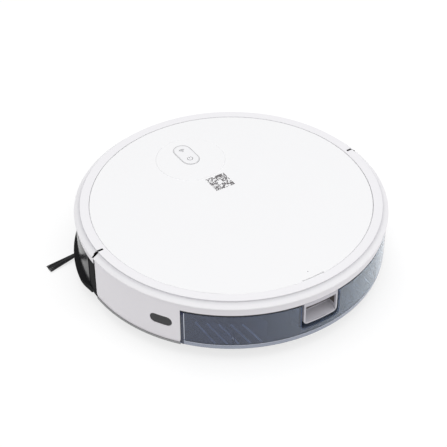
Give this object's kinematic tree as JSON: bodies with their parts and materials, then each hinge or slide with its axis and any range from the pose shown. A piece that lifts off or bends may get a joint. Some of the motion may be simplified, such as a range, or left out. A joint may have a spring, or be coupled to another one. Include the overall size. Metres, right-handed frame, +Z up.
{
  "type": "robot vacuum",
  "caption": "Round robot vacuum with a front bumper, rear dust bin, sprung drive wheels, caster, main roller and two side brushes.",
  "frame": {"origin": "on the floor, under the middle of the robot's outline", "axes": "+Z up, bumper towards -Y, dust bin slides out along +Y, robot's left along +X"},
  "size_m": [0.3544, 0.3283, 0.0753],
  "materials": {
    "lid_white": "satin moulded",
    "housing_white": "satin moulded",
    "window_black": "polished, infrared-clear",
    "lip_black": "soft moulded",
    "bin_smoke": "smoky translucent",
    "lever_grey": "fine moulded texture",
    "button_white": "fine moulded texture",
    "port_charcoal": "soft moulded",
    "base_grey": "spark-eroded texture",
    "chassis_black": "plain moulded",
    "frame_grey": "plain moulded",
    "tyre_rubber": "moulded rubber",
    "hub_grey": "plain moulded",
    "brush_black": "moulded",
    "bristle_dark": "nylon bristle",
    "roller_bristle": "nylon bristle rows",
    "steel": "plated",
    "contact_metal": "nickel-plated",
    "filter_paper": "pleated paper",
    "board_green": "solder mask",
    "battery_wrap": "shrink wrap",
    "motor_can": "drawn can",
    "lens_dark": "infrared window"
  },
  "bodies": {
    "chassis": {"base_plate": "base_grey", "battery_cover": "base_grey", "battery_pack": "battery_wrap", "bin_bay_liner": "chassis_black", "brush_drive": "chassis_black", "brush_guard": "frame_grey", "brush_tunnel": "chassis_black", "brush_wiper": "lip_black", "bumper_springs": "steel", "bumper_switches": "chassis_black", "button_board": "board_green", "caster_cup": "base_grey", "charge_contacts": "contact_metal", "cliff_windows": "lens_dark", "fan_housing": "chassis_black", "fan_motor": "steel", "lid_panel": "lid_white", "main_board": "board_green", "port_cover": "port_charcoal", "port_jack": "chassis_black", "screws": "steel", "side_brush_motor_left": "motor_can", "side_brush_motor_right": "motor_can", "upper_housing": "housing_white", "wheel_arm_spring_left": "steel", "wheel_arm_spring_right": "steel", "wheel_case_left": "chassis_black", "wheel_case_right": "chassis_black", "wheel_pivot_pins": "steel"},
    "bumper": {"bumper_shell": "housing_white", "bumper_window": "window_black", "bumper_lip": "lip_black"},
    "button": {"power_button": "button_white"},
    "dust_bin": {"bin_tank": "bin_smoke", "bin_cover": "chassis_black", "filter_frame": "frame_grey", "filter_pleats": "filter_paper", "lever_springs": "steel"},
    "lever": {"release_lever": "lever_grey"},
    "flap": {"inlet_flap": "lip_black"},
    "roller": {"roller_core": "frame_grey", "roller_bristles": "roller_bristle"},
    "fan": {"fan_impeller": "frame_grey"},
    "caster": {"caster_fork": "hub_grey", "caster_axle": "steel"},
    "caster_roll": {"caster_wheel": "tyre_rubber"},
    "left_arm": {"wheel_arm_left": "hub_grey", "wheel_motor_left": "steel"},
    "left_wheel": {"wheel_hub_left": "hub_grey", "wheel_tyre_left": "tyre_rubber"},
    "left_side_brush": {"side_brush_hub_left": "brush_black", "side_brush_bristles_left": "bristle_dark", "side_brush_screw_left": "steel"},
    "right_arm": {"wheel_arm_right": "hub_grey", "wheel_motor_right": "steel"},
    "right_wheel": {"wheel_hub_right": "hub_grey", "wheel_tyre_right": "tyre_rubber"},
    "right_side_brush": {"side_brush_hub_right": "brush_black", "side_brush_bristles_right": "bristle_dark", "side_brush_screw_right": "steel"}
  },
  "joints": [
    {"name": "bumper_press", "type": "slide", "parent": "chassis", "child": "bumper", "axis": [0, 1, 0], "range_m": [0, 0.0022], "stiffness_N_per_m": 350, "springref_m": -0.003, "deforming": ["bumper_springs"]},
    {"name": "button_press", "type": "slide", "parent": "chassis", "child": "button", "axis": [0, 0, -1], "range_m": [0, 0.0006], "stiffness_N_per_m": 800, "springref_m": -0.001},
    {"name": "bin_slide", "type": "slide", "parent": "chassis", "child": "dust_bin", "axis": [0, 1, 0], "range_m": [0, 0.11]},
    {"name": "lever_press", "type": "slide", "parent": "dust_bin", "child": "lever", "axis": [0, 0, -1], "range_m": [0, 0.003], "stiffness_N_per_m": 500, "springref_m": -0.003, "deforming": ["lever_springs"]},
    {"name": "flap_swing", "type": "hinge", "parent": "dust_bin", "child": "flap", "pos_m": [0, 0.0675, 0.0346], "axis": [1, 0, 0], "range_deg": [0, 60]},
    {"name": "roller_spin", "type": "hinge", "parent": "chassis", "child": "roller", "pos_m": [0, 0.038, 0.0205], "axis": [1, 0, 0], "continuous": true},
    {"name": "fan_spin", "type": "hinge", "parent": "chassis", "child": "fan", "pos_m": [0, 0.03, 0.055], "axis": [0, 0, 1], "continuous": true},
    {"name": "caster_swivel", "type": "hinge", "parent": "chassis", "child": "caster", "pos_m": [0, -0.118, 0.03], "axis": [0, 0, 1], "continuous": true},
    {"name": "caster_roll", "type": "hinge", "parent": "caster", "child": "caster_roll", "pos_m": [0, -0.112, 0.014], "axis": [1, 0, 0], "continuous": true},
    {"name": "left_arm_drop", "type": "hinge", "parent": "chassis", "child": "left_arm", "pos_m": [0.095, -0.046, 0.04], "axis": [-1, 0, 0], "range_deg": [0, 28], "stiffness_Nm_per_rad": 0.12, "springref_deg": 85.94, "deforming": ["wheel_arm_spring_left"]},
    {"name": "left_wheel_spin", "type": "hinge", "parent": "left_arm", "child": "left_wheel", "pos_m": [0.1125, 0.004, 0.033], "axis": [1, 0, 0], "continuous": true},
    {"name": "left_side_brush_spin", "type": "hinge", "parent": "chassis", "child": "left_side_brush", "pos_m": [0.105, -0.0857, 0.006], "axis": [0, 0, 1], "continuous": true},
    {"name": "right_arm_drop", "type": "hinge", "parent": "chassis", "child": "right_arm", "pos_m": [-0.095, -0.046, 0.04], "axis": [-1, 0, 0], "range_deg": [0, 28], "stiffness_Nm_per_rad": 0.12, "springref_deg": 85.94, "deforming": ["wheel_arm_spring_right"]},
    {"name": "right_wheel_spin", "type": "hinge", "parent": "right_arm", "child": "right_wheel", "pos_m": [-0.1125, 0.004, 0.033], "axis": [1, 0, 0], "continuous": true},
    {"name": "right_side_brush_spin", "type": "hinge", "parent": "chassis", "child": "right_side_brush", "pos_m": [-0.105, -0.0857, 0.006], "axis": [0, 0, 1], "continuous": true}
  ]
}
